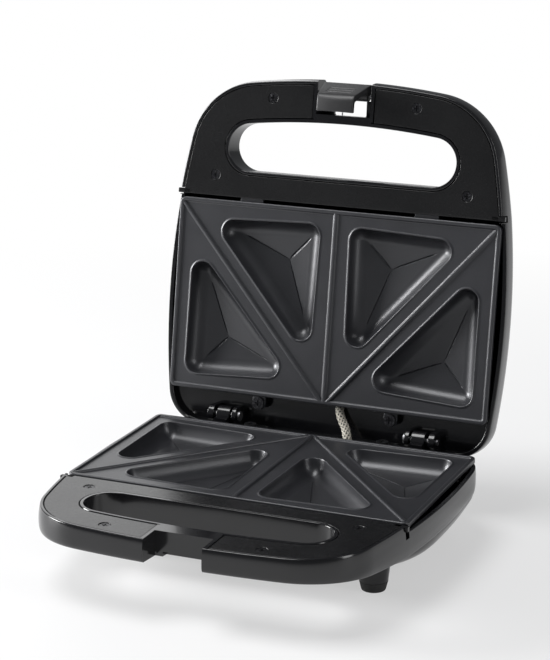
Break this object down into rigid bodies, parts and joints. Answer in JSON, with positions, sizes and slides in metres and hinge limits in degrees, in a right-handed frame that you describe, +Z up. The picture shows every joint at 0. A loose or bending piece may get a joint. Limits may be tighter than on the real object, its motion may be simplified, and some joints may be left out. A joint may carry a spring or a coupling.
{
  "type": "sandwich toaster",
  "caption": "Countertop sandwich toaster standing open: hinged lid, two non-stick plates with triangular wells, slotted handles, a sprung latch and rubber feet.",
  "frame": {"origin": "middle of the footprint of the open toaster, on the table under its feet", "axes": "+Z up, -Y towards the user at the handle side, +X to the user's right"},
  "size_m": [0.232, 0.2845, 0.2686],
  "materials": {
    "shell_black": "gloss black moulded",
    "cover_black": "satin black moulded",
    "nonstick_plate": "dark grey speckled non-stick coat, satin",
    "black_screw": "blackened, satin",
    "zinc_steel": "zinc plated",
    "element_sheath": "dull drawn",
    "reflector_steel": "bright rolled",
    "rubber_foot": "matt",
    "ceramic_white": "unglazed white",
    "fuse_body": "plain",
    "braid": "braided glass and wire sleeve",
    "red_lens": "clear tinted",
    "green_lens": "clear tinted"
  },
  "bodies": {
    "base": {"base_casing": "shell_black", "base_handle_cover": "cover_black", "lower_plate": "nonstick_plate", "base_handle_screws": "black_screw", "lower_plate_screws": "black_screw", "lower_element": "element_sheath", "lower_element_clamps": "zinc_steel", "lower_clamp_screws": "zinc_steel", "lower_reflector": "reflector_steel", "lower_reflector_screws": "zinc_steel", "thermostat": "ceramic_white", "thermal_fuse": "fuse_body", "terminal_block": "ceramic_white", "cord_bush": "rubber_foot", "front_feet": "rubber_foot", "rear_feet": "rubber_foot", "hinge_pins": "zinc_steel", "lead_sleeve": "braid"},
    "lid": {"lid_casing": "shell_black", "lid_handle_cover": "cover_black", "upper_plate": "nonstick_plate", "lid_handle_screws": "black_screw", "upper_plate_screws": "black_screw", "upper_element": "element_sheath", "upper_element_clamps": "zinc_steel", "upper_clamp_screws": "zinc_steel", "upper_reflector": "reflector_steel", "upper_reflector_screws": "zinc_steel", "lamp_holder": "ceramic_white", "latch_pin": "zinc_steel", "latch_spring": "zinc_steel", "power_lamp_lens": "red_lens", "ready_lamp_lens": "green_lens"},
    "latch": {"latch": "shell_black"}
  },
  "joints": [
    {"name": "lid_hinge", "type": "hinge", "parent": "base", "child": "lid", "pos_m": [0, 0.08021, 0.0503], "axis": [1, 0, 0], "range_deg": [0, 99.5], "deforming": ["lead_sleeve"]},
    {"name": "latch_pivot", "type": "hinge", "parent": "lid", "child": "latch", "pos_m": [0, 0.12174, 0.26032], "axis": [-1, 0, 0], "range_deg": [0, 18], "stiffness_Nm_per_rad": 0.05, "springref_deg": -8.59}
  ]
}
